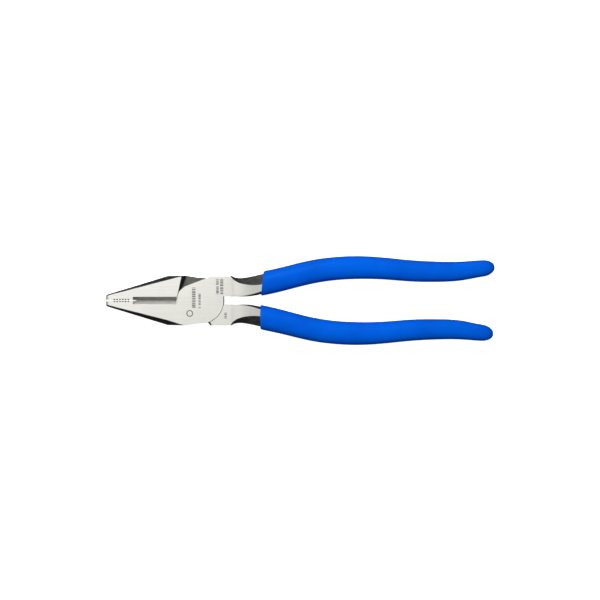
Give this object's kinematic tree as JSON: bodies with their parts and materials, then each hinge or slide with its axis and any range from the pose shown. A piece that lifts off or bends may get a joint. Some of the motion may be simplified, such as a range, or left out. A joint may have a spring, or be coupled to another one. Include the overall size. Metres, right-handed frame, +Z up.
{
  "type": "lineman pliers",
  "caption": "Lineman pliers with a flat gripping nose, side cutters, a lap joint on a flush rivet and blue dipped grips.",
  "frame": {"origin": "on the pivot axis, at the flush underside of the head", "axes": "+X from the pivot towards the handles, +Z up along the pivot axis, out of the front half's face"},
  "size_m": [0.2298, 0.0528, 0.013],
  "materials": {
    "forged_steel": "ground bright on the flat faces, black oxide on the forged slopes",
    "rivet_steel": "ground flush",
    "grip_vinyl": "smooth satin dipped vinyl"
  },
  "bodies": {
    "rear": {"rear_half": "forged_steel", "rivet": "rivet_steel", "lower_grip": "grip_vinyl"},
    "front": {"front_half": "forged_steel", "upper_grip": "grip_vinyl"}
  },
  "joints": [
    {"name": "jaw_pivot", "type": "hinge", "parent": "rear", "child": "front", "pos_m": [0, 0, 0], "axis": [0, 0, 1], "range_deg": [0, 30]}
  ]
}
